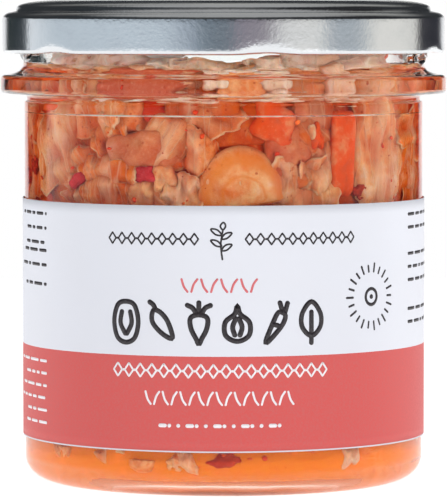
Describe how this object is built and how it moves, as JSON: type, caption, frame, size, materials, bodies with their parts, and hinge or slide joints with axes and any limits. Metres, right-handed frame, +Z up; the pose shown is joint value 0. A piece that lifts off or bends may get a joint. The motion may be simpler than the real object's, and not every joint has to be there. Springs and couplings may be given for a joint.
{
  "type": "kimchi jar",
  "caption": "Straight-sided glass grocery jar of packed kimchi with a low tinplate twist-off lid and a wrap-round paper label.",
  "frame": {"origin": "on the table under the middle of the jar's base", "axes": "+Z up along the jar's axis; the front of the label faces -Y"},
  "size_m": [0.0862, 0.0862, 0.0926],
  "materials": {
    "clear_glass": "clear smooth soda-lime glass",
    "lid_tinplate": "satin lacquered tinplate with a fine orange-peel texture",
    "label_paper": "matt coated white paper with a muted red lower field",
    "label_print": "flat printing ink",
    "pickled_vegetables": "wet pickled cabbage, daikon and carrot stained orange by chilli",
    "brine": "clear orange pickling brine"
  },
  "bodies": {
    "root": {"glass_jar": "clear_glass", "lid": "lid_tinplate", "label": "label_paper", "kimchi": "pickled_vegetables"}
  },
  "joints": []
}
